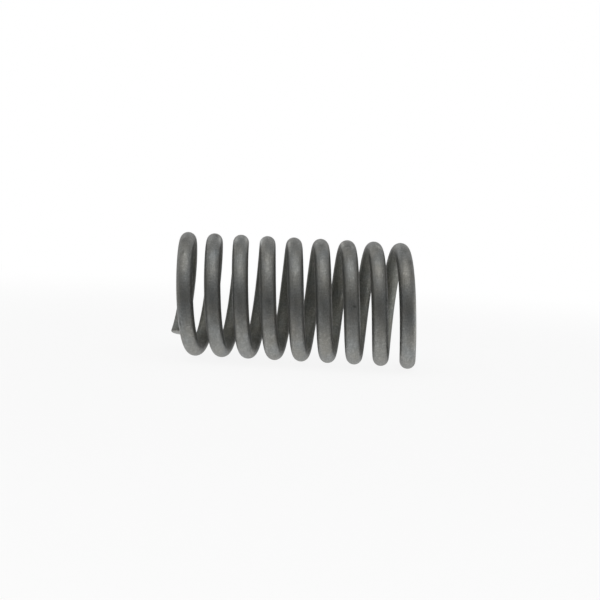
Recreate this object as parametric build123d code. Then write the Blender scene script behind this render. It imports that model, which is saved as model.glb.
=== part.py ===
"""Helical compression spring, coiled from one length of round steel wire.

Both ends are plain: the wire runs on at the full pitch until the cut-off blade shears it,
with no closed turn and no ground face. The spring lies on its side along X and is wound
right-handed from its left end. Angles round the coil are in degrees from straight up (+Z),
turning through the front (-Y).
"""
from build123d import *
import math
import os

# Wire and coil, in millimetres
wire_diameter = 3.2
outside_diameter = 25.0
coil_gap = 2.16
total_turns = 9.0
first_end_angle = -145.0

# Stretch before the right end that sprang open a little when the wire was cut
sprung_turns = 0.5
sprung_growth = 0.165

# Sheared ends: the blade enters from outside the coil, rolls that edge over and breaks
# through to the inside
shear_lean = 35.0
rolled_edge_radius = 1.5
rolled_edge_height = 0.45

pitch = wire_diameter + coil_gap
coil_radius = (outside_diameter - wire_diameter) / 2
turn_length = math.hypot(math.tau * coil_radius, pitch)

# Wire that is fed past each end and taken off by the blade
cut_stub = wire_diameter / 2


def direction_round_coil(angle):
    """Unit vector from the coil's axis towards an angle round the coil."""
    return Vector(0, -math.sin(math.radians(angle)), math.cos(math.radians(angle)))


def helix_from(start_x, start_angle, turns, growth):
    """Helix along +X that starts on the coil at start_x and start_angle.

    Growth is added to its radius and its axis is moved back by as much, so that it keeps
    the coil's slope and leaves the coil at a tangent.
    """
    outward = direction_round_coil(start_angle)
    radius = coil_radius + growth
    own_pitch = pitch * radius / coil_radius
    axes = Plane(
        origin=Vector(start_x, 0, 0) - outward * growth,
        x_dir=outward,
        z_dir=(1, 0, 0),
    )
    return axes * Helix(pitch=own_pitch, height=own_pitch * turns, radius=radius)


def centreline():
    """Middle line of the wire, with a stub past each end: the even coil, then the sprung end."""
    stub_turns = cut_stub / turn_length
    even_turns = total_turns - sprung_turns
    even_coil = helix_from(
        start_x=-pitch * stub_turns,
        start_angle=first_end_angle - 360 * stub_turns,
        turns=even_turns + stub_turns,
        growth=0,
    )
    sprung_end = helix_from(
        start_x=pitch * even_turns,
        start_angle=first_end_angle + 360 * even_turns,
        turns=sprung_turns + stub_turns,
        growth=sprung_growth,
    )
    return Wire([even_coil, sprung_end])


def sheared_off(line, distance, way_out):
    """Block of all that the blade takes away where it cuts the wire.

    distance is measured along the middle line, and way_out is 1 where the wire is taken off
    beyond that point and -1 where it is taken off before it. The profile is drawn with X
    along the wire and Y away from the coil's axis: a leaning straight cut, then the rolled
    edge as an arc that turns back until it is clear of the wire.
    """
    tip = line.position_at(distance, position_mode=PositionMode.LENGTH)
    outward = line.tangent_at(distance, position_mode=PositionMode.LENGTH) * way_out
    from_axis = Vector(0, tip.Y, tip.Z)
    blade_axes = Plane(origin=tip, x_dir=outward, z_dir=outward.cross(from_axis))

    wire_radius = wire_diameter / 2
    block_height = wire_radius * 1.5
    block_length = wire_diameter
    lean = math.radians(shear_lean)
    up_the_cut = Vector(-math.sin(lean), math.cos(lean))
    foot = up_the_cut * (-block_height / math.cos(lean))
    bend = up_the_cut * ((wire_radius - rolled_edge_height) / math.cos(lean))

    cut = Line(foot, bend)
    rolled_edge = JernArc(bend, up_the_cut, rolled_edge_radius, 90 - shear_lean)
    far_side = Polyline(
        rolled_edge @ 1,
        ((rolled_edge @ 1).X, block_height),
        (block_length, block_height),
        (block_length, foot.Y),
        foot,
    )
    profile = make_face([cut, rolled_edge, far_side])
    return extrude(blade_axes * profile, amount=wire_radius + coil_gap / 2, both=True)


def coil_spring():
    """The whole spring, set down with the middle of its underside at the origin."""
    line = centreline()
    section = Plane(origin=line @ 0, z_dir=line % 0) * Circle(wire_diameter / 2)
    wire = sweep(section, path=line, is_frenet=True)
    wire -= sheared_off(line, cut_stub, way_out=-1)
    wire -= sheared_off(line, line.length - cut_stub, way_out=1)
    box = wire.bounding_box()
    return Pos(-box.center().X, -box.center().Y, -box.min.Z) * wire


spring = coil_spring()
os.makedirs("parts", exist_ok=True)
export_step(spring, "parts/coil_spring.step")
print("overall size", spring.bounding_box().size)
print("volume", spring.volume, "faces", len(spring.faces()), "valid", spring.is_valid)
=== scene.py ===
"""Looks of a helical compression spring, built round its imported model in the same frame.

The spring is one length of round steel wire, coiled right-handed with its axis along X and both ends
sheared off. Its surface is worked out from the distance along the wire from the left cut, the angle
round the wire's section and how far the surface lies below a perfect round. Angles round the coil
are from straight up (+Z) through the front (-Y), as in the model.
"""

import math

import bpy
import numpy as np
from bpy.props import FloatProperty, FloatVectorProperty, PointerProperty
from bpy.types import Operator, Panel, PropertyGroup
from mathutils import Matrix, Vector


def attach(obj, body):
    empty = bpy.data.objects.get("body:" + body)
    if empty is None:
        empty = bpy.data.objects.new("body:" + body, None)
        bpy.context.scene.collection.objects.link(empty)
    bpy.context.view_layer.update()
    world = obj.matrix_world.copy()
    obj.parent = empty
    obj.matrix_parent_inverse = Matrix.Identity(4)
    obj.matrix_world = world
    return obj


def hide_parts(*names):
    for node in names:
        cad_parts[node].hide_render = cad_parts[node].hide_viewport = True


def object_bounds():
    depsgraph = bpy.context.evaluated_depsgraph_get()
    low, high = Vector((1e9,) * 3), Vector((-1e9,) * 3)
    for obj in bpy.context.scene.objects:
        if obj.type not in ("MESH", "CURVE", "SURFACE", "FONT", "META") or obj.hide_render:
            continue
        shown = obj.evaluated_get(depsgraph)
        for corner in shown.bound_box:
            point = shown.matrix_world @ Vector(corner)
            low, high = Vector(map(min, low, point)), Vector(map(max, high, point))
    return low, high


bl_info = {
    "name": "Compression spring",
    "version": (1, 0, 0),
    "blender": (4, 5, 0),
    "location": "View3D > Sidebar > Spring",
    "description": "A plain-ended helical compression spring of dull steel wire on a pale floor",
    "category": "Add Mesh",
}

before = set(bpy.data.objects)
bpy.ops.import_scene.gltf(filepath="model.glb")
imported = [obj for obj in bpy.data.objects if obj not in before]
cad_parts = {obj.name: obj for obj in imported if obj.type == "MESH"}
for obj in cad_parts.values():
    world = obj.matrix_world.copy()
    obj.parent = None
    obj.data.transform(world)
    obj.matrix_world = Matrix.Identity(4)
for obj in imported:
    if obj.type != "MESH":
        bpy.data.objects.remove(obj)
cad_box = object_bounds()

MM = 0.001
COIL_NODE = "coil_spring"

# Points round the wire, steps along it, and rows of points over the rim and the face of each cut
ROUND_WIRE = 48
ALONG_WIRE = 1960
RIM_ROWS = 6
FACE_ROWS = 12

# The wire must have fewer triangles than this. Past this many triangles, a piece's STL
# file would be thinned
MOST_TRIANGLES = 200000
NO_TRIANGLES = np.zeros((0, 3), int)

NUMBER = "NodeSocketFloat"
VECTOR = "NodeSocketVector"
COLOUR = "NodeSocketColor"
GRAIN_PARTS = ("Cloud", "Tint", "Grain", "Lines", "Inside", "Rubbed")


class SpringSizes(PropertyGroup):
    """Sizes of the wire and the coil, as the model has them."""

    wire_diameter: FloatProperty(
        name="Wire diameter", description="Thickness of the round wire",
        default=3.2 * MM, min=0.5 * MM, unit="LENGTH", subtype="DISTANCE",
    )
    outside_diameter: FloatProperty(
        name="Outside diameter", description="Width of the coil over the wire",
        default=25.0 * MM, min=5 * MM, unit="LENGTH", subtype="DISTANCE",
    )
    coil_gap: FloatProperty(
        name="Gap", description="Clear space between one turn and the next, along the axis",
        default=2.16 * MM, min=0.1 * MM, unit="LENGTH", subtype="DISTANCE",
    )
    total_turns: FloatProperty(
        name="Turns", description="Turns of wire from cut to cut",
        default=9.0, min=2.0,
    )
    first_end_angle: FloatProperty(
        name="Left cut", description="Angle of the left cut, from straight up through the front",
        default=math.radians(-145.0), unit="ROTATION", subtype="ANGLE",
    )
    sprung_turns: FloatProperty(
        name="Sprung turns", description="Last stretch at the right that opened a little when cut",
        default=0.5, min=0.0, max=1.0,
    )
    sprung_growth: FloatProperty(
        name="Sprung growth", description="How much larger that stretch's radius is",
        default=0.165 * MM, min=0.0, unit="LENGTH", subtype="DISTANCE",
    )
    shear_lean: FloatProperty(
        name="Shear lean", description="Slope of the sheared faces away from square",
        default=math.radians(35.0), unit="ROTATION", subtype="ANGLE",
    )
    rolled_edge_radius: FloatProperty(
        name="Rolled edge radius", description="Roundness of the edge where the blade went in",
        default=1.5 * MM, min=0.05 * MM, unit="LENGTH", subtype="DISTANCE",
    )
    rolled_edge_height: FloatProperty(
        name="Rolled edge height", description="How far down from the wire's top that edge begins",
        default=0.45 * MM, min=0.0, unit="LENGTH", subtype="DISTANCE",
    )
    rim_round: FloatProperty(
        name="Rim round", description="Small round all the way about each sheared face",
        default=0.42 * MM, min=0.01 * MM, unit="LENGTH", subtype="DISTANCE",
    )
    burr: FloatProperty(
        name="Burr", description="Lip that the blade leaves where it breaks out on the inside",
        default=0.03 * MM, min=0.0, unit="LENGTH", subtype="DISTANCE",
    )


class WireSurface(PropertyGroup):
    """Unevenness and colour of the steel."""

    wave_depth: FloatProperty(
        name="Wave depth", description="Depth of the slow unevenness left by drawing",
        default=0.012 * MM, min=0.0, unit="LENGTH", subtype="DISTANCE",
    )
    line_depth: FloatProperty(
        name="Line depth", description="Depth of the lengthwise lines left by the die",
        default=0.004 * MM, min=0.0, unit="LENGTH", subtype="DISTANCE",
    )
    steel_colour: FloatVectorProperty(
        name="Steel", description="Colour of the dull drawn surface",
        default=(0.262, 0.265, 0.2527), size=3, min=0.0, max=1.0, subtype="COLOR",
    )
    bare_colour: FloatVectorProperty(
        name="Bare steel", description="Colour of the sheared faces",
        default=(0.40, 0.40, 0.39), size=3, min=0.0, max=1.0, subtype="COLOR",
    )
    dullness: FloatProperty(
        name="Dullness", description="Mean roughness of the drawn surface",
        default=0.44, min=0.1, max=1.0, subtype="FACTOR",
    )
    cut_dullness: FloatProperty(
        name="Cut dullness", description="Mean roughness of a sheared face where the blade sliced",
        default=0.34, min=0.1, max=1.0, subtype="FACTOR",
    )


class StageSettings(PropertyGroup):
    """Floor, light and camera."""

    pale: FloatProperty(
        name="Floor", description="Lightness of the floor and the wall behind it",
        default=0.9, min=0.0, max=1.0, subtype="FACTOR",
    )
    room: FloatProperty(
        name="Room light", description="Even light from the open top of the room",
        default=0.455, min=0.0, subtype="FACTOR",
    )
    soft_box: FloatProperty(
        name="Soft box", description="Power of the wide lamp overhead",
        default=0.6, min=0.0, unit="POWER",
    )
    front_card: FloatProperty(
        name="Front card", description="Lightness of the card at the front, which the steel mirrors",
        default=0.145, min=0.0, max=1.0, subtype="FACTOR",
    )
    back_card: FloatProperty(
        name="Back card", description="Lightness of the card at the back",
        default=0.41, min=0.0, max=1.0, subtype="FACTOR",
    )
    end_card: FloatProperty(
        name="End card", description="Lightness of the card beyond the right end",
        default=1.4, min=0.0, max=2.0, subtype="FACTOR",
    )
    lens: FloatProperty(
        name="Lens", description="Focal length on a 36 mm wide sensor",
        default=60.75, min=10.0, unit="CAMERA",
    )
    camera_height: FloatProperty(
        name="Camera angle", description="How far the camera looks down",
        default=math.radians(5.0), unit="ROTATION", subtype="ANGLE",
    )


def round_coil(angle):
    """Unit vectors away from the coil's axis: no X, minus the sine along Y, the cosine along Z."""
    return np.stack([np.zeros_like(angle), -np.sin(angle), np.cos(angle)], axis=-1)


def coil_radius(sizes):
    """Radius of the wire's middle line."""
    return (sizes.outside_diameter - sizes.wire_diameter) / 2


def pitch(sizes):
    """Distance along X from one turn to the next."""
    return sizes.wire_diameter + sizes.coil_gap


def turn_length(sizes):
    """Wire in one turn: the hypotenuse of the circle's length and the pitch."""
    return math.hypot(math.tau * coil_radius(sizes), pitch(sizes))


def wire_length(sizes):
    """Wire from cut to cut. The sprung stretch is longer by the ratio of its radius to the coil's."""
    radius = coil_radius(sizes)
    sprung_share = (radius + sizes.sprung_growth) / radius
    even_turns = sizes.total_turns - sizes.sprung_turns
    return turn_length(sizes) * (even_turns + sizes.sprung_turns * sprung_share)


def wire_line(sizes, distance):
    """Middle line of the wire and its directions, at distances from the left cut.

    X grows evenly with distance. The angle grows by one turn for each turn's length, and a little
    slower on the sprung stretch, whose radius is larger by the growth and whose axis is moved back
    by as much, so that both helices share a tangent. Returns the points, the directions away from
    the axis and the directions across the wire, towards +X.
    """
    radius = coil_radius(sizes)
    growth = sizes.sprung_growth
    one_turn = turn_length(sizes)
    even_turns = sizes.total_turns - sizes.sprung_turns
    beyond = np.maximum(distance - even_turns * one_turn, 0.0)
    sprung_share = (radius + growth) / radius
    turns = (distance - beyond) / one_turn + beyond / (one_turn * sprung_share)
    angle = sizes.first_end_angle + math.tau * turns
    outward = round_coil(angle)

    sprung = (beyond > 0)[..., None]
    joint_direction = round_coil(np.array(sizes.first_end_angle + math.tau * even_turns))
    points = outward * (radius + growth * sprung) - joint_direction * growth * sprung
    points[..., 0] = distance * pitch(sizes) / one_turn

    slope = pitch(sizes) / one_turn
    round_share = math.tau * radius / one_turn
    tangent = np.stack(
        [np.full_like(angle, slope), -np.cos(angle) * round_share, -np.sin(angle) * round_share],
        axis=-1,
    )
    across = np.cross(outward, tangent)
    return points, outward, across


def cut_depth(sizes, height):
    """How far a sheared face lies back from the wire's nominal end, at heights from the wire's middle.

    Height is measured away from the coil's axis. The face leans by its slope. Above the point where
    the rolled edge begins, an arc tangent to the slope turns back: the arc's centre lies one radius
    behind the slope, and the depth follows from the circle's equation.
    """
    wire_radius = sizes.wire_diameter / 2
    lean = sizes.shear_lean
    bend = wire_radius - sizes.rolled_edge_height
    centre_height = bend - sizes.rolled_edge_radius * math.sin(lean)
    centre_depth = bend * math.tan(lean) + sizes.rolled_edge_radius * math.cos(lean)
    rise = np.clip((height - centre_height) / sizes.rolled_edge_radius, 0.0, 1.0)
    arc = centre_depth - sizes.rolled_edge_radius * np.sqrt(1.0 - rise**2)
    return np.where(height > bend, arc, height * math.tan(lean))


def waves_along(distance, around, count, lengths, whole_turns, seed):
    """Smooth unevenness between -1 and 1 or so, seamless round the wire.

    It is a sum of cosines of a distance divided by a wave length, plus a whole number times the
    angle round the wire, plus a phase, all drawn from a seeded generator.
    """
    draw = np.random.default_rng(seed)
    total = np.zeros(np.broadcast(distance, around).shape)
    for _ in range(count):
        wave_length = draw.uniform(*lengths)
        times_round = draw.integers(whole_turns[0], whole_turns[1] + 1)
        way = draw.choice((-1.0, 1.0))
        phase = draw.uniform(0.0, math.tau)
        total += np.cos(way * math.tau * distance / wave_length + times_round * around + phase)
    return total / math.sqrt(count)


# Marks on the wire's outer side: the turn, counted from the left, the angle round the coil in degrees,
# the side as a share of the wire's radius, to the right above 0, the length, width and depth in
# millimetres, and the shade, dark below 0 and bright above. Some entries are painted light, not marks
# on the steel: bright reflections painted on the shoulders near the turns' tops, painted glints near
# the tops, a painted highlight on the first turn's left edge, and painted shade on the right sides
# of the eighth and ninth turns.
SURFACE_MARKS = {
    "dark patch near the first turn's top": (1, 27.6, -0.37, 1.66, 1.36, 0.0, -0.3),
    # Painted highlight: a bright reflection on the shoulder
    "painted highlight on the first turn's right shoulder": (1, 22.1, 0.68, 2.35, 0.94, 0.0, 0.13),
    "nick near the first turn's top": (1, 45.4, -0.16, 0.69, 0.4, 0.02, -0.6),
    "bright side of that nick": (1, 47.5, 0.0, 0.66, 0.31, 0.0, 0.8),
    "dark spot over the second turn": (2, 12.7, 0.33, 2.01, 0.79, 0.0, -0.59),
    # Painted highlight: a bright reflection on the shoulder
    "painted highlight on the second turn's right shoulder": (2, 16.9, 0.76, 3.0, 0.81, 0.0, 1.56),
    "scuff beside it": (2, 20.1, -0.31, 1.99, 0.67, 0.0, 0.3),
    "dark spot over the third turn": (3, 18.6, 0.0, 1.2, 0.99, 0.0, -0.21),
    # Painted highlights: bright reflections on both shoulders
    "painted highlight on the third turn's left shoulder": (3, 16.8, -0.59, 2.35, 0.79, 0.0, 0.69),
    "painted highlight on the third turn's right shoulder": (3, 15.2, 0.69, 2.47, 0.68, 0.0, 1.28),
    "dark speck below it": (3, 30.7, -0.4, 1.01, 0.44, 0.0, -0.25),
    # Painted highlight: a bright reflection on the shoulder
    "painted highlight on the fourth turn's left shoulder": (4, 13.6, -0.85, 4.0, 0.97, 0.0, 2.0),
    "dark streak beside it": (4, 22.5, 0.01, 2.09, 0.79, 0.0, -0.04),
    # Painted highlight: a bright reflection on the shoulder
    "painted highlight on the fifth turn's left shoulder": (5, 20.1, -0.74, 2.93, 0.66, 0.0, 1.05),
    "dark streak over the fifth turn": (5, 25.2, -0.14, 2.25, 0.79, 0.0, -0.17),
    # Painted highlight: a bright reflection on the shoulder
    "painted highlight on the sixth turn's left shoulder": (6, 18.6, -0.68, 2.93, 0.64, 0.0, 0.05),
    "dark patch over the sixth turn": (6, 24.5, -0.06, 1.3, 0.98, 0.0, -0.34),
    "dull band below it": (6, 37.4, -0.04, 1.06, 1.75, 0.0, 0.12),
    # Painted highlight: a bright reflection on the shoulder
    "painted highlight on the seventh turn's left shoulder": (7, 9.7, -0.81, 3.6, 0.66, 0.0, 0.92),
    "dark line across it": (7, 22.3, -0.27, 0.98, 1.37, 0.0, -0.32),
    "dark line above that": (7, 15.0, -0.18, 1.12, 0.97, 0.0, -0.24),
    "speck right of them": (7, 19.8, 0.67, 1.77, 0.7, 0.0, 0.1),
    "scuff over the eighth turn": (8, 21.5, 0.3, 1.12, 0.69, 0.0, 0.6),
    "light band on the eighth turn": (8, 32.1, -0.46, 1.19, 1.42, 0.0, 0.28),
    # Painted highlight: a bright reflection on the shoulder
    "painted highlight on the ninth turn's left shoulder": (9, 11.1, -0.62, 3.24, 0.98, 0.0, 0.49),
    "dull patch beside it": (9, 26.2, -0.02, 1.43, 0.69, 0.0, -0.19),
    # Painted shade: the ninth turn's right side is darkened where less light falls on it
    "painted shade on the ninth turn's right side": (9, 56.0, 0.5, 4.0, 1.0, 0.0, -0.22),
    "painted shade higher on the ninth turn's right side": (9, 42.2, 0.52, 1.34, 0.78, 0.0, -0.52),
    "pit on the seventh turn": (7, 88.9, 0.34, 0.44, 0.61, 0.03, -0.85),
    "smudge on the fourth turn": (4, 87.7, -0.01, 0.5, 0.95, 0.0, -0.25),
    "smudge's tail": (4, 88.5, 0.28, 1.2, 0.5, 0.0, -0.3),
    "speck on the first turn": (1, 63.5, -0.02, 0.5, 0.4, 0.0, 0.35),
    # Painted highlight: the first turn's left edge is lightened where it faces open light
    "painted highlight on the first turn's left edge": (1, 118.0, -0.96, 5.0, 0.8, 0.0, 1.4),
    "dark scratch beside it": (1, 113.5, -0.68, 0.9, 0.4, 0.0, -1.0),
    # Painted shade: the eighth turn's right edge is darkened to damp a reflection
    "painted shade on the eighth turn's right edge": (8, 98.0, 0.97, 15.0, 0.9, 0.0, -0.9),
    "speck on the seventh turn": (7, 47.5, 0.2, 0.5, 0.35, 0.0, 0.35),
    "speck on the sixth turn": (6, 41.5, 0.2, 0.4, 0.5, 0.0, 0.35),
    "second speck below it": (6, 49.0, -0.14, 0.5, 0.5, 0.0, 0.3),
    # Painted glints: the bright specks below are glints of light near the tops
    "bright speck left on the seventh turn": (7, 7.5, -0.76, 0.9, 0.36, 0.0, 1.3),
    "bright speck below that": (7, 17.0, -0.68, 0.8, 0.36, 0.0, 1.2),
    "bright speck right on the seventh turn": (7, 23.5, 0.4, 0.7, 0.36, 0.0, 0.7),
    "bright speck over the eighth turn": (8, 19.5, 0.02, 0.8, 0.34, 0.0, 0.8),
    "bright speck right of that": (8, 21.5, 0.28, 0.7, 0.36, 0.0, 1.0),
    "bright speck at its right edge": (8, 22.5, 0.62, 0.8, 0.36, 0.0, 0.8),
    "bright speck over the sixth turn": (6, 13.0, -0.2, 0.9, 0.36, 0.0, 0.6),
    "bright speck left of that": (6, 15.5, -0.68, 0.8, 0.36, 0.0, 0.8),
}


def surface_marks(sizes, distance, around):
    """Depth and shade of the marks above.

    Each is a bell curve along and round the wire, down to 1/e at half its length or width. Some
    shades are painted highlights and painted shade, as the table says.
    """
    wire_radius = sizes.wire_diameter / 2
    depth = np.zeros(np.broadcast(distance, around).shape)
    shade = np.zeros_like(depth)
    for turn, angle, side, length, width, deep, tone in SURFACE_MARKS.values():
        turns_in = turn - 1 + (math.radians(angle) - sizes.first_end_angle) / math.tau
        middle = turns_in * turn_length(sizes)
        turned = np.angle(np.exp(1j * (around - math.asin(side))))
        along = (distance - middle) / (length / 2 * MM)
        over = turned * wire_radius / (width / 2 * MM)
        bell = np.exp(-(along**2) - over**2)
        depth += deep * MM * bell
        shade += tone * bell
    return depth, shade


def painted_bottom_shade(sizes, distance, around):
    """Painted shade inside the coil's bottom, where less light reaches.

    It is a bell curve of the angle round the coil, times how far the wire faces the coil's axis.
    """
    darkest_shade = -0.3
    darkest_angle = math.radians(193.0)
    spread = math.radians(16.0)
    angle = sizes.first_end_angle + math.tau * distance / turn_length(sizes)
    away = np.angle(np.exp(1j * (angle - darkest_angle)))
    facing_in = np.clip(-np.cos(around), 0.0, 1.0)
    return darkest_shade * np.exp(-((away / spread) ** 2)) * facing_in


def share_of_depth(waves):
    """Depths between 0 and 1: waves as low as they go touch the round, and the highest lie deepest."""
    highest_wave = 2.5
    return np.clip(1.0 + waves / highest_wave, 0.0, 2.0) / 2


def surface_depth(sizes, surface, distance, around):
    """How far the wire's surface lies below a perfect round, never above it, and how it is shaded.

    The depth is the sum of slow waves, the lengthwise lines of the die and the marks. The shade is
    that of the marks, with their painted highlights and painted shade, and of the painted shade
    inside the coil's bottom.
    """
    slow = waves_along(
        distance, around, count=60, lengths=(3.0 * MM, 14.0 * MM), whole_turns=(0, 3), seed=11,
    )
    lines = waves_along(
        distance, around, count=40, lengths=(20.0 * MM, 90.0 * MM), whole_turns=(4, 20), seed=12,
    )
    marks, shade = surface_marks(sizes, distance, around)
    # Painted shade inside the coil's bottom is added to the marks' shade
    shade += painted_bottom_shade(sizes, distance, around)
    uneven = surface.wave_depth * share_of_depth(slow)
    drawn = surface.line_depth * share_of_depth(lines)
    return uneven + drawn + marks, shade


def broken_metal(height, side, seed):
    """Roughness of broken metal between -1 and 1 or so, at heights and sides on a cut.

    It is a sum of cosines of the place along a heading, divided by a wave length, plus a phase, all
    drawn from a seeded generator.
    """
    count = 40
    draw = np.random.default_rng(seed)
    total = np.zeros_like(height)
    for _ in range(count):
        heading = draw.uniform(0.0, math.tau)
        wave_length = draw.uniform(0.35 * MM, 1.4 * MM)
        place = height * math.cos(heading) + side * math.sin(heading)
        total += np.cos(math.tau * place / wave_length + draw.uniform(0.0, math.tau))
    return total / math.sqrt(count)


def sheared_rows(sizes, around, seed):
    """One sheared end, as rows of points from its middle outwards.

    The face is a set of circles in the wire's section, as deep as the blade's cut is at their height,
    and a quarter round joins it to the wire's surface. The outer part, which the blade sliced, is
    smooth. The inner part broke, so it is rough and a little deeper, except at the rim. A steep
    S-curve of the height parts the two. The lowest edge stands out in a burr, a bell curve of the
    height. The shade is painted shade in the crease at the root of the quarter round on the inner
    side, a bell curve of how far back it lies. A place some depth back is that far along the wire,
    divided by how much longer an arc at its height is than the middle line. Returns distances from
    the end along the wire, heights, sides and shades.
    """
    wire_radius = sizes.wire_diameter / 2
    face_radius = wire_radius - sizes.rim_round
    circles = face_radius * np.linspace(1.0 / FACE_ROWS, 1.0, FACE_ROWS)
    turn = np.linspace(math.pi / 2, 0.0, RIM_ROWS + 1)[1:]
    radii = np.concatenate([circles, face_radius + sizes.rim_round * np.cos(turn)])
    behind = np.concatenate([np.zeros(FACE_ROWS), sizes.rim_round * (1.0 - np.sin(turn))])
    height = radii[:, None] * np.cos(around)
    side = radii[:, None] * np.sin(around)

    break_height = 0.1 * wire_radius
    break_steepness = 0.06 * wire_radius
    break_depth = 0.015 * MM
    rough_depth = 0.02 * MM
    rough = broken_metal(height, side, seed)
    broken = 1.0 / (1.0 + np.exp((height - break_height) / break_steepness))
    fade_start = 0.5
    rounds_in = (wire_radius - radii[:, None]) / sizes.rim_round
    off_rim = np.clip(rounds_in - fade_start, 0.0, 1.0)

    burr_width = 0.16 * MM
    burr_unevenness = 0.3
    burr = np.exp(-(((height + wire_radius) / burr_width) ** 2)) * (1.0 + burr_unevenness * rough)
    depth = cut_depth(sizes, height) + behind[:, None]
    depth += (rough_depth * rough * broken + break_depth * broken) * off_rim
    depth -= sizes.burr * burr

    # Painted shade: a dark line in the crease at the root of the quarter round, on the inner side
    painted_root_shade = -0.45
    root_place = 0.7 * sizes.rim_round
    root_width = 0.14 * MM
    painted_shade_reach = 0.3
    root = np.exp(-(((behind - root_place) / root_width) ** 2))
    inner = np.clip(painted_shade_reach - height / wire_radius, 0.0, 1.0)
    shade = painted_root_shade * root[:, None] * inner
    return depth / (1.0 + height / coil_radius(sizes)), height, side, shade


def place_on_wire(sizes, distance, height, side):
    """Points at heights and sides from the wire's middle line, at distances along it."""
    line, outward, across = wire_line(sizes, distance)
    return line + outward * height[..., None] + across * side[..., None]


def wire_rows(sizes, surface):
    """Rings of points out over the left face to its rim, along the wire and in over the right face.

    Each lengthwise line of the wire is divided evenly between its two ends, and its unevenness fades
    out before them. Returns distances, heights, sides and shades, with a row for each ring.
    """
    wire_radius = sizes.wire_diameter / 2
    length = wire_length(sizes)
    around = np.arange(ROUND_WIRE) * math.tau / ROUND_WIRE
    left = sheared_rows(sizes, around, seed=21)
    from_end, *rest = sheared_rows(sizes, around, seed=22)
    right = (length - from_end, *rest)

    share = np.linspace(0.0, 1.0, ALONG_WIRE + 1)[1:-1, None]
    distance = left[0][-1] + (right[0][-1] - left[0][-1]) * share
    deep, shade = surface_depth(sizes, surface, distance, around)
    fade_length = 1.5 * MM
    fade_start = 0.3
    nearest_end = np.minimum(distance, length - distance)
    deep = deep * np.clip(nearest_end / fade_length - fade_start, 0.0, 1.0)
    height = (wire_radius - deep) * np.cos(around)
    side = (wire_radius - deep) * np.sin(around)
    parts = zip(left, (distance, height, side, shade), right)
    return [np.concatenate([out, along, back[::-1]]) for out, along, back in parts]


def quads_between_rings(rings, steps):
    """Four-sided faces that join each ring of points to the next."""
    ring, step = np.meshgrid(np.arange(rings - 1), np.arange(steps), indexing="ij")
    here = ring * steps
    beside = (step + 1) % steps
    corners = [here + step, here + steps + step, here + steps + beside, here + beside]
    return np.stack(corners, axis=-1).reshape(-1, 4)


def wire_surface(sizes, surface):
    """The whole skin of the wire as one closed surface.

    Its rings are joined by four-sided faces, and the middle of each cut is a point that a fan of
    triangles joins to the smallest ring there. Returns the points, where they lie on the straightened
    wire in millimetres, their shades, both kinds of faces and which of the faces are cuts.
    """
    distance, height, side, shade = wire_rows(sizes, surface)
    rows = len(distance)
    middles = [distance[0].mean(), distance[-1].mean()]
    distance = np.concatenate([distance.ravel(), middles])
    height, side, shade = (
        np.concatenate([values.ravel(), [0.0, 0.0]]) for values in (height, side, shade)
    )
    points = place_on_wire(sizes, distance, height, side)
    wire_place = np.stack([distance, height, side], axis=-1) / MM

    first = np.arange(ROUND_WIRE)
    second = (first + 1) % ROUND_WIRE
    last_ring = (rows - 1) * ROUND_WIRE
    left_middle = np.full(ROUND_WIRE, rows * ROUND_WIRE)
    left_fan = np.stack([left_middle, first, second], axis=-1)
    right_fan = np.stack([left_middle + 1, last_ring + second, last_ring + first], axis=-1)
    fans = np.concatenate([left_fan, right_fan])

    cut_rows = FACE_ROWS + RIM_ROWS - 1
    is_cut = np.zeros((rows - 1, ROUND_WIRE), bool)
    is_cut[:cut_rows] = True
    is_cut[-cut_rows:] = True
    is_cut = np.concatenate([is_cut.ravel(), np.ones(len(fans), bool)])
    return points, wire_place, shade, quads_between_rings(rows, ROUND_WIRE), fans, is_cut


def mesh_from_arrays(name, points, quads, triangles):
    """A mesh of four-sided and three-sided faces, filled from whole arrays."""
    mesh = bpy.data.meshes.new(name)
    corners = np.concatenate([quads.ravel(), triangles.ravel()]).astype(np.int32)
    counts = np.concatenate([np.full(len(quads), 4), np.full(len(triangles), 3)])
    starts = np.concatenate([[0], np.cumsum(counts)[:-1]]).astype(np.int32)
    mesh.vertices.add(len(points))
    mesh.vertices.foreach_set("co", points.astype(np.float32).ravel())
    mesh.loops.add(len(corners))
    mesh.loops.foreach_set("vertex_index", corners)
    mesh.polygons.add(len(counts))
    mesh.polygons.foreach_set("loop_start", starts)
    mesh.polygons.foreach_set("use_smooth", np.ones(len(counts), bool))
    mesh.update(calc_edges=True)
    return mesh


def new_object(name, data):
    """An object at the origin, in the scene."""
    thing = bpy.data.objects.new(name, data)
    bpy.context.scene.collection.objects.link(thing)
    return thing


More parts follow.
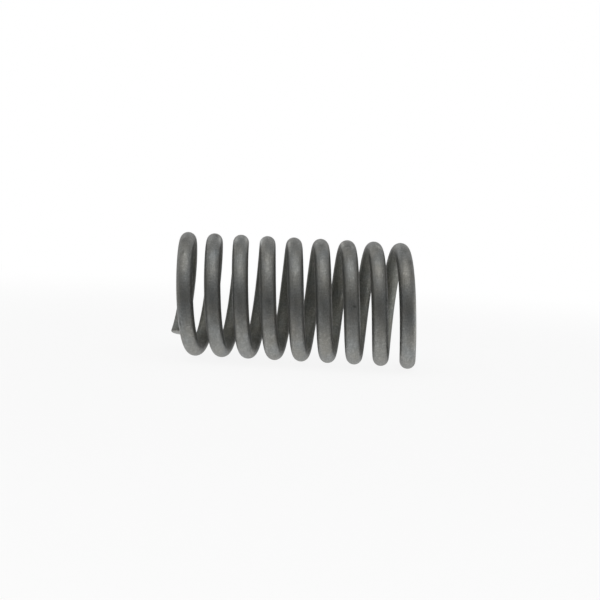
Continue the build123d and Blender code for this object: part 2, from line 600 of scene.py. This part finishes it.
class NodeBuilder:
    """Adds nodes to a node tree and links them, with the values given by name."""

    def __init__(self, tree):
        self.tree = tree
        self.tree.nodes.clear()

    def add(self, kind, settings=None, **inputs):
        """A node of a kind. Settings are its own properties, and inputs are values or sockets."""
        node = self.tree.nodes.new(kind)
        for key, value in (settings or {}).items():
            setattr(node, key, value)
        for key, value in inputs.items():
            self.feed(node, key.replace("_", " "), value)
        return node

    def feed(self, node, key, value):
        """Sets one input of a node by its name or number, or links a socket to it."""
        socket = node.inputs[key]
        if isinstance(value, bpy.types.NodeSocket):
            self.tree.links.new(value, socket)
        else:
            socket.default_value = value

    def math(self, operation, first, second=0.0, clamp=False):
        """Result of one sum on two numbers."""
        node = self.add("ShaderNodeMath", {"operation": operation, "use_clamp": clamp})
        self.feed(node, 0, first)
        self.feed(node, 1, second)
        return node.outputs[0]

    def noise(self, place, scale, detail=3.0, roughness=0.6):
        """Value of a noise at a place."""
        node = self.add(
            "ShaderNodeTexNoise", Vector=place, Scale=scale, Detail=detail, Roughness=roughness,
        )
        return node.outputs["Fac"]

    def step(self, value, start, end):
        """A smooth step of a value: 0 up to the start, 1 from the end on."""
        node = self.add(
            "ShaderNodeMapRange", {"interpolation_type": "SMOOTHSTEP"},
            Value=value, From_Min=start, From_Max=end,
        )
        return node.outputs["Result"]

    def swing(self, value, share, middle=0.5):
        """How far a value is above its middle, times a share."""
        return self.math("MULTIPLY", self.math("SUBTRACT", value, middle), share)

    def stretch(self, place, scale):
        """A place scaled along each axis, so that a pattern on it is drawn out."""
        node = self.add("ShaderNodeMapping", {"vector_type": "POINT"}, Vector=place, Scale=scale)
        return node.outputs["Vector"]

    def attribute(self, name, output="Fac"):
        """What the mesh stores under a name."""
        return self.add("ShaderNodeAttribute", {"attribute_name": name}).outputs[output]

    def surface(self, shader, output="ShaderNodeOutputMaterial"):
        """Makes a shader the surface of the material, or of the world."""
        out = self.add(output)
        self.tree.links.new(shader.outputs[0], out.inputs["Surface"])


def new_material(name):
    """An empty material and the builder of its nodes."""
    material = bpy.data.materials.new(name)
    material.use_nodes = True
    return material, NodeBuilder(material.node_tree)


def shader_group(name, inputs, outputs):
    """A new node group with named sockets, given as name, kind and default."""
    group = bpy.data.node_groups.new(name, "ShaderNodeTree")
    for label, kind, default in inputs:
        socket = group.interface.new_socket(label, in_out="INPUT", socket_type=kind)
        if default is not None:
            socket.default_value = default
    for label, kind in outputs:
        group.interface.new_socket(label, in_out="OUTPUT", socket_type=kind)
    build = NodeBuilder(group)
    entry = group.nodes.new("NodeGroupInput")
    leave = group.nodes.new("NodeGroupOutput")
    return group, build, entry.outputs, leave


def steel_grain_group():
    """Grain of dull steel: cloud, tint, fine grain, drawn lines, inner side, rubbed specks and relief.

    All of them read a point's place on the straightened wire, in millimetres, so nothing breaks at a
    seam or bends round the coil. The lines are a noise drawn out along the wire, and the rubbed specks
    are the tops of another. The inner side grows from 0 a little above the wire's middle to 1 where
    it faces the coil's axis. The relief is the distance to the nearest of many scattered points,
    which makes shallow dimples, with some of the grain and the lines.
    """
    group, build, given, leave = shader_group(
        "steel_grain",
        inputs=[
            ("Place", VECTOR, None),
            ("Cloud Scale", NUMBER, 0.45),
            ("Grain Scale", NUMBER, 3.2),
            ("Dimple Scale", NUMBER, 2.6),
        ],
        outputs=[(label, NUMBER) for label in (*GRAIN_PARTS, "Height")],
    )
    another_part = (37.0, 11.0, 5.0)
    drawn_out = (0.06, 1.0, 1.0)
    tint_scale = 0.3
    line_scale = 5.0
    speck_scale = 1.9
    place = given["Place"]
    moved = build.add("ShaderNodeVectorMath", {"operation": "ADD"})
    build.feed(moved, 0, place)
    build.feed(moved, 1, another_part)
    moved = moved.outputs[0]
    cloud = build.noise(place, given["Cloud Scale"])
    tint = build.noise(moved, tint_scale, detail=2.0, roughness=0.5)
    grain = build.noise(place, given["Grain Scale"], detail=2.0, roughness=0.7)
    lines = build.noise(build.stretch(place, drawn_out), line_scale)
    specks = build.noise(moved, speck_scale, detail=2.0)
    rubbed = build.step(specks, start=0.5, end=0.68)
    height = build.add("ShaderNodeSeparateXYZ", Vector=place).outputs["Y"]
    inside = build.step(height, start=0.3, end=-1.2)

    dimple_share = 0.8
    grain_share = 0.5
    line_share = 0.2
    dimples = build.add(
        "ShaderNodeTexVoronoi", {"feature": "SMOOTH_F1"},
        Vector=place, Scale=given["Dimple Scale"], Smoothness=0.6,
    ).outputs["Distance"]
    relief = build.math("MULTIPLY", dimples, dimple_share)
    relief = build.math("ADD", relief, build.math("MULTIPLY", grain, grain_share))
    relief = build.math("ADD", relief, build.math("MULTIPLY", lines, line_share))
    for label, value in zip(GRAIN_PARTS, (cloud, tint, grain, lines, inside, rubbed)):
        build.feed(leave, label, value)
    build.feed(leave, "Height", relief)
    return group


def steel_tone_group():
    """Colour and roughness of steel from its grain.

    The steel's colour is multiplied by a tone: 1, with a share of how far cloud, grain, lines, rubbed
    specks and marks are above their middles, less a share of the inner side, down to a darkest tone.
    The marks' shade also holds painted highlights and painted shade. The tint warms or cools it, red
    one way and blue the other. The inner side, which faces the coil's axis, is a little more olive.
    Steel is duller there, and smoother where it is light or rubbed.
    """
    group, build, given, leave = shader_group(
        "steel_tone",
        inputs=[
            ("Steel", COLOUR, (0.26, 0.26, 0.25, 1.0)),
            ("Cloud", NUMBER, 0.5),
            ("Tint", NUMBER, 0.5),
            ("Grain", NUMBER, 0.5),
            ("Lines", NUMBER, 0.5),
            ("Inside", NUMBER, 0.0),
            ("Rubbed", NUMBER, 0.0),
            # Shade of the marks, with the painted highlights and painted shade among them
            ("Mark", NUMBER, 0.0),
            ("Contrast", NUMBER, 1.0),
            ("Dullness", NUMBER, 0.44),
        ],
        outputs=[("Colour", COLOUR), ("Roughness", NUMBER)],
    )
    mark_share = 0.8
    inside_darker = 0.05
    darkest_tone = 0.15
    cloudy = build.swing(given["Cloud"], share=0.3)
    grainy = build.swing(given["Grain"], share=0.6)
    lined = build.swing(given["Lines"], share=0.35)
    specked = build.swing(given["Rubbed"], share=0.12, middle=0.3)
    uneven = build.math("ADD", build.math("ADD", cloudy, grainy), build.math("ADD", lined, specked))
    uneven = build.math("MULTIPLY", uneven, given["Contrast"])
    # The mark shade includes painted highlights and painted shade
    marked = build.math("MULTIPLY", given["Mark"], mark_share)
    tone = build.math("ADD", build.math("ADD", uneven, 1.0), marked)
    tone = build.math("SUBTRACT", tone, build.math("MULTIPLY", given["Inside"], inside_darker))
    tone = build.math("MAXIMUM", tone, darkest_tone)

    blue_to_red = 1.4
    inside_olive = 0.045
    warmth = build.swing(given["Tint"], share=0.12)
    cool = build.math("SUBTRACT", 1.0, build.math("MULTIPLY", warmth, blue_to_red))
    olive = build.math("MULTIPLY", given["Inside"], inside_olive)
    red = build.math("ADD", warmth, 1.0)
    blue = build.math("SUBTRACT", cool, olive)
    tint = build.add("ShaderNodeCombineXYZ", X=red, Y=1.0, Z=blue)
    tinted = build.add("ShaderNodeVectorMath", {"operation": "MULTIPLY"})
    build.feed(tinted, 0, given["Steel"])
    build.feed(tinted, 1, tint.outputs[0])
    scaled = build.add("ShaderNodeVectorMath", {"operation": "SCALE"}, Scale=tone)
    build.feed(scaled, 0, tinted.outputs[0])
    build.feed(leave, "Colour", scaled.outputs[0])

    light_smoother = 0.35
    rubbed_smoother = 0.1
    inside_duller = 0.15
    smoother = build.math("MULTIPLY", uneven, light_smoother)
    smoother = build.math("ADD", smoother, build.math("MULTIPLY", given["Rubbed"], rubbed_smoother))
    duller = build.math("MULTIPLY", given["Inside"], inside_duller)
    duller = build.math("SUBTRACT", duller, smoother)
    build.feed(leave, "Roughness", build.math("ADD", given["Dullness"], duller, clamp=True))
    return group


def sheared_grain_group():
    """What the blade leaves on a cut: where the wire broke, lines the way the blade went, and relief.

    Broken grows from 0 above the middle of the wire to 1 below it as a smooth step, at a height that
    noise moves up and down. The lines are a noise drawn out along the height. The relief is mostly
    lines where the blade sliced and crumbs where the wire broke.
    """
    group, build, given, leave = shader_group(
        "sheared_grain",
        inputs=[("Place", VECTOR, None)],
        outputs=[("Broken", NUMBER), ("Blade Lines", NUMBER), ("Height", NUMBER)],
    )
    edge_scale = 1.6
    drawn_out = (0.2, 0.1, 1.0)
    line_scale = 6.0
    line_share = 0.5
    crumb_scale = 4.5
    place = given["Place"]
    height = build.add("ShaderNodeSeparateXYZ", Vector=place).outputs["Y"]
    edge = build.noise(place, edge_scale)
    ragged = build.math("ADD", height, build.swing(edge, share=1.4))
    broken = build.step(ragged, start=0.28, end=0.05)
    lines = build.noise(build.stretch(place, drawn_out), line_scale, roughness=0.65)
    crumbs = build.noise(place, crumb_scale, roughness=0.7)
    sliced = build.math("MULTIPLY", lines, build.math("SUBTRACT", 1.0, broken))
    sliced = build.math("MULTIPLY", sliced, line_share)
    relief = build.math("ADD", sliced, build.math("MULTIPLY", crumbs, broken))
    build.feed(leave, "Broken", broken)
    build.feed(leave, "Blade Lines", lines)
    build.feed(leave, "Height", relief)
    return group


def wire_attributes(build):
    """Where a point lies on the straightened wire, and the shade there of the marks and the painted
    light.
    """
    return build.attribute("wire_place", "Vector"), build.attribute("marks_and_painted_light")


def metal_surface(build, tone, height, relief):
    """Metal of a tone, with a relief given in millimetres, as the material's surface."""
    bump = build.add("ShaderNodeBump", Strength=1.0, Distance=relief * MM, Height=height)
    shader = build.add(
        "ShaderNodeBsdfPrincipled", Metallic=1.0, Normal=bump.outputs["Normal"],
        Base_Color=tone.outputs["Colour"], Roughness=tone.outputs["Roughness"],
    )
    build.surface(shader)


def drawn_material(groups, colour, dullness):
    """Dull metal of the drawn wire: its colour, roughness and relief follow the wire's grain."""
    material, build = new_material("drawn_wire")
    place, mark = wire_attributes(build)
    grain = build.add(
        "ShaderNodeGroup", {"node_tree": groups["grain"]},
        Place=place, Cloud_Scale=0.45, Grain_Scale=3.8, Dimple_Scale=3.4,
    )
    tone = build.add(
        "ShaderNodeGroup", {"node_tree": groups["tone"]},
        Steel=(*colour, 1.0), Mark=mark, Contrast=1.0, Dullness=dullness,
    )
    for label in GRAIN_PARTS:
        build.feed(tone, label, grain.outputs[label])
    metal_surface(build, tone, grain.outputs["Height"], relief=0.056)
    return material


def sheared_material(groups, colour, dullness):
    """Bare metal of a cut: lined where the blade sliced, duller and more uneven where it broke."""
    material, build = new_material("sheared_face")
    sliced_contrast = 0.8
    broken_contrast = 0.6
    broken_duller = 0.16
    broken_inside = 0.8
    place, mark = wire_attributes(build)
    cut = build.add("ShaderNodeGroup", {"node_tree": groups["sheared"]}, Place=place)
    grain = build.add(
        "ShaderNodeGroup", {"node_tree": groups["grain"]},
        Place=place, Cloud_Scale=1.2, Grain_Scale=5.0,
    )
    broken = cut.outputs["Broken"]
    tone = build.add(
        "ShaderNodeGroup", {"node_tree": groups["tone"]},
        Steel=(*colour, 1.0), Mark=mark,
        Contrast=build.math("ADD", build.math("MULTIPLY", broken, broken_contrast), sliced_contrast),
        Dullness=build.math("ADD", build.math("MULTIPLY", broken, broken_duller), dullness),
        Inside=build.math("MULTIPLY", broken, broken_inside),
    )
    for label in ("Cloud", "Tint", "Grain"):
        build.feed(tone, label, grain.outputs[label])
    build.feed(tone, "Lines", cut.outputs["Blade Lines"])
    metal_surface(build, tone, cut.outputs["Height"], relief=0.08)
    return material


class SPRING_OT_wire(Operator):
    """Make the coiled wire with its sheared ends and its steel"""

    bl_idname = "spring.wire"
    bl_label = "Coil the wire"

    def execute(self, context):
        sizes = context.scene.spring_sizes
        surface = context.scene.spring_surface
        points, wire_place, shade, quads, triangles, is_cut = wire_surface(sizes, surface)
        if len(quads) * 2 + len(triangles) >= MOST_TRIANGLES:
            raise RuntimeError("the wire has too many triangles")
        lo, hi = cad_box
        left, right = points[:, 0].min(), points[:, 0].max()
        points[:, 0] += (lo.x + hi.x) / 2 - left - (right - left) / 2
        points[:, 1] += hi.y - sizes.outside_diameter / 2
        points[:, 2] += hi.z - sizes.outside_diameter / 2

        mesh = mesh_from_arrays("coiled_wire", points, quads, triangles)
        mesh.polygons.foreach_set("material_index", is_cut.astype(np.int32))
        place = mesh.attributes.new("wire_place", "FLOAT_VECTOR", "POINT")
        place.data.foreach_set("vector", wire_place.astype(np.float32).ravel())
        # The shade holds the marks, painted highlights and painted shade
        float_attribute(mesh, "marks_and_painted_light", shade)
        groups = {
            "grain": steel_grain_group(),
            "tone": steel_tone_group(),
            "sheared": sheared_grain_group(),
        }
        mesh.materials.append(drawn_material(groups, surface.steel_colour, surface.dullness))
        mesh.materials.append(sheared_material(groups, surface.bare_colour, surface.cut_dullness))
        wire = new_object("coiled_wire", mesh)
        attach(wire, "root")
        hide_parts(COIL_NODE)
        return {"FINISHED"}


def ring_sheet(name, distances, heights, steps=128):
    """An open sheet made of circles about the Z axis, facing up and inwards.

    Each circle has its own distance from the axis and its own height.
    """
    angle = np.arange(steps) * math.tau / steps
    x = distances[:, None] * np.cos(angle)
    y = distances[:, None] * np.sin(angle)
    z = np.broadcast_to(heights[:, None], x.shape)
    points = np.stack([x, y, z], axis=-1).reshape(-1, 3)
    quads = quads_between_rings(len(distances), steps)
    return mesh_from_arrays(name, points, quads, NO_TRIANGLES), points


def pale_material(pale):
    """A pale matt surface, part of which is plain white to camera, glossy and transmission rays.

    The white is as much as the sheet's own whiteness says. The rest takes the lamps' light, so it
    keeps the object's shadow.
    """
    material, build = new_material("pale_floor")
    material.cycles.emission_sampling = "NONE"
    rays = build.add("ShaderNodeLightPath").outputs
    seen = build.math("MAXIMUM", rays["Is Camera Ray"], rays["Is Glossy Ray"])
    seen = build.math("MAXIMUM", seen, rays["Is Transmission Ray"])
    whiteness = build.attribute("whiteness")
    matt = build.add("ShaderNodeBsdfDiffuse", Color=(pale, pale, pale, 1.0))
    white = build.add("ShaderNodeEmission", Color=(1.0, 1.0, 1.0, 1.0), Strength=1.0)
    both = build.add("ShaderNodeMixShader", Fac=build.math("MULTIPLY", seen, whiteness))
    build.tree.links.new(matt.outputs[0], both.inputs[1])
    build.tree.links.new(white.outputs[0], both.inputs[2])
    build.surface(both)
    return material


def float_attribute(mesh, name, values):
    """Stores one number for each point of a mesh."""
    stored = mesh.attributes.new(name, "FLOAT", "POINT")
    stored.data.foreach_set("value", values.astype(np.float32))


def smooth_step(share):
    """0 below 0, 1 above 1 and three squares less two cubes between."""
    share = np.clip(share, 0.0, 1.0)
    return share**2 * (3 - 2 * share)


def studio_floor(pale):
    """Round floor that rises in a quarter round to a low wall all about.

    Its whiteness grows from near the object outwards to 1, as a smooth step. It is hidden from glossy
    rays, so the steel mirrors the bowl below it instead.
    """
    wall_radius = 1.0
    corner = 0.15
    wall_height = 0.5
    turn = np.linspace(0.0, math.pi / 2, 12)
    smallest_ring = 0.0001
    flat = np.concatenate([[smallest_ring], np.linspace(0.02, 0.3, 15)])
    radii = np.concatenate([flat, wall_radius - corner + corner * np.sin(turn), [wall_radius]])
    heights = np.concatenate([np.zeros(len(flat)), corner - corner * np.cos(turn), [wall_height]])
    mesh, points = ring_sheet("studio_floor", radii, heights)

    least_white = 0.88
    near = 0.06
    grows_over = 0.19
    away = smooth_step((np.hypot(points[:, 0], points[:, 1]) - near) / grows_over)
    float_attribute(mesh, "whiteness", least_white + (1.0 - least_white) * away)
    mesh.materials.append(pale_material(pale))
    floor = new_object("studio_floor", mesh)
    floor.visible_glossy = False


def paper_card(name, mesh, lightness):
    """A card of paper that only reflections see, with its lightness at each point."""
    float_attribute(mesh, "lightness", lightness)
    material, build = new_material("card_paper")
    material.cycles.emission_sampling = "NONE"
    paper = build.add("ShaderNodeEmission", Color=build.attribute("lightness"), Strength=1.0)
    build.surface(paper)
    mesh.materials.append(material)
    card = new_object(name, mesh)
    card.visible_camera = False
    card.visible_diffuse = False
    card.visible_shadow = False
    card.visible_transmission = False
    return card


def reflection_card(stage, middle):
    """Grey bowl of paper round the spring, open at the top, for the steel to mirror.

    It is part of a ball about the coil's middle. Level with the coil its lightness goes from the
    back's to the front's in a smooth step, and grows by the square of how far a point is to a side.
    One smooth step leads down from there to white, sooner at the back and the sides. Another leads up
    to an edge as light as the room, and lighter at the back. Near it the front left is lighter, and
    the back right darker.
    """
    radius = 0.35
    lightest_side = 0.75
    back_edge = 0.78
    left_lighter = 0.2
    right_darker = 0.4
    lowest, highest, rings = -89.9, 45.0, 46
    angles = np.linspace(lowest, highest, rings)
    distances = radius * np.cos(np.radians(angles))
    heights = middle.z + radius * np.sin(np.radians(angles))
    mesh, points = ring_sheet("reflection_card", distances, heights)
    up = np.repeat(angles, len(points) // rings)
    right = points[:, 0] / radius
    side = right**2
    front = smooth_step(0.5 - 0.7 * points[:, 1] / radius)
    back = 1 - front

    level = stage.back_card + (stage.front_card - stage.back_card) * front
    level *= 1.0 + lightest_side * side
    below = -up * (1 + 0.8 * side * (1 - 0.8 * front))
    white_start, white_width = 4 * back, 64 + 21 * front
    edge_start, edge_width = 5, 30
    under = smooth_step((below - white_start) / white_width)
    over = smooth_step((up - edge_start) / edge_width)
    edge = back_edge + (stage.room - back_edge) * front
    lightness = level + (1.0 - level) * under + (edge - level) * over
    tilt = left_lighter * np.maximum(-right, 0.0) * front - right_darker * np.maximum(right, 0.0) * back
    card = paper_card("reflection_card", mesh, lightness * (1 + over * tilt))


def end_card(stage, middle):
    """Upright white card square to the axis, beyond the right end, for the last turn to mirror."""
    beyond = 0.045
    front_edge, back_edge = -0.006, 0.012
    lower_edge, upper_edge = -0.022, 0.005
    sideways = middle.y + np.array([front_edge, back_edge, back_edge, front_edge])
    upwards = middle.z + np.array([lower_edge, lower_edge, upper_edge, upper_edge])
    points = np.stack([np.full(4, middle.x + beyond), sideways, upwards], axis=-1)
    mesh = mesh_from_arrays("end_card", points, np.array([[0, 3, 2, 1]]), NO_TRIANGLES)
    card = paper_card("end_card", mesh, np.full(4, stage.end_card))


def room_light(level):
    """A world that is evenly grey."""
    world = bpy.data.worlds.new("room")
    world.use_nodes = True
    build = NodeBuilder(world.node_tree)
    air = build.add("ShaderNodeBackground", Color=(level, level, level, 1.0), Strength=1.0)
    build.surface(air, "ShaderNodeOutputWorld")
    return world


def soft_box(power, middle):
    """A wide lamp above the coil and a little in front, aimed at its middle."""
    lean = math.radians(23.0)
    reach = 0.45
    lamp = bpy.data.lights.new("soft_box", "AREA")
    lamp.shape = "RECTANGLE"
    lamp.size = 0.65
    lamp.size_y = 0.4
    lamp.energy = power
    box = new_object("soft_box", lamp)
    place = middle + Vector((0.0, -math.sin(lean), math.cos(lean))) * reach
    box.location = place
    box.rotation_euler = (middle - place).to_track_quat("-Z", "Y").to_euler()


def coil_middle(sizes):
    """Middle of the coil: its axis lies half the outside diameter in from the box's back and top."""
    lo, hi = cad_box
    half = sizes.outside_diameter / 2
    return Vector(((lo.x + hi.x) / 2, hi.y - half, hi.z - half))


def photo_camera(stage, radius, middle):
    """A camera where the photograph's stood, panned and rolled.

    Its place is given in coil radii from the coil's middle, along its own right, up and back.
    """
    pan = math.radians(1.6533)
    roll = math.radians(3.0582)
    right, up, back = 0.1107, -0.0132, 18.814
    camera = bpy.data.cameras.new("camera")
    camera.sensor_width = 36.0
    camera.lens = stage.lens
    camera.clip_start = 0.005
    camera.clip_end = 10.0
    viewer = new_object("camera", camera)
    turned = (
        Matrix.Rotation(math.radians(90.0) - stage.camera_height, 4, "X")
        @ Matrix.Rotation(pan, 4, "Y")
        @ Matrix.Rotation(roll, 4, "Z")
    )
    offset = Vector((right * radius, up * radius, back * radius))
    viewer.matrix_world = Matrix.Translation(middle + turned.to_3x3() @ offset) @ turned
    return viewer


class SPRING_OT_stage(Operator):
    """Set the floor, the light and the camera"""

    bl_idname = "spring.stage"
    bl_label = "Set the stage"

    def execute(self, context):
        sizes = context.scene.spring_sizes
        stage = context.scene.spring_stage
        middle = coil_middle(sizes)
        studio_floor(stage.pale)
        reflection_card(stage, middle)
        end_card(stage, middle)
        soft_box(stage.soft_box, middle)
        context.scene.world = room_light(stage.room)
        context.scene.camera = photo_camera(stage, coil_radius(sizes), middle)
        context.scene.view_settings.view_transform = "Standard"
        return {"FINISHED"}


class SPRING_PT_panel(Panel):
    """Sizes and steps of the spring"""

    bl_label = "Compression spring"
    bl_space_type = "VIEW_3D"
    bl_region_type = "UI"
    bl_category = "Spring"

    def draw(self, context):
        layout = self.layout
        scene = context.scene
        for group in (scene.spring_sizes, scene.spring_surface, scene.spring_stage):
            column = layout.column(align=True)
            for key in group.bl_rna.properties.keys():
                if key not in ("rna_type", "name"):
                    column.prop(group, key)
        layout.operator(SPRING_OT_wire.bl_idname)
        layout.operator(SPRING_OT_stage.bl_idname)


CLASSES = (SpringSizes, WireSurface, StageSettings, SPRING_OT_wire, SPRING_OT_stage, SPRING_PT_panel)


def register():
    """Makes the classes known and hangs their settings on the scene."""
    for made in CLASSES:
        bpy.utils.register_class(made)
    bpy.types.Scene.spring_sizes = PointerProperty(type=SpringSizes)
    bpy.types.Scene.spring_surface = PointerProperty(type=WireSurface)
    bpy.types.Scene.spring_stage = PointerProperty(type=StageSettings)


def unregister():
    """Takes the settings and the classes away again."""
    del bpy.types.Scene.spring_sizes
    del bpy.types.Scene.spring_surface
    del bpy.types.Scene.spring_stage
    for made in reversed(CLASSES):
        bpy.utils.unregister_class(made)


def main():
    """Builds everything."""
    register()
    bpy.ops.spring.wire()
    bpy.ops.spring.stage()


if __name__ == "__main__":
    main()
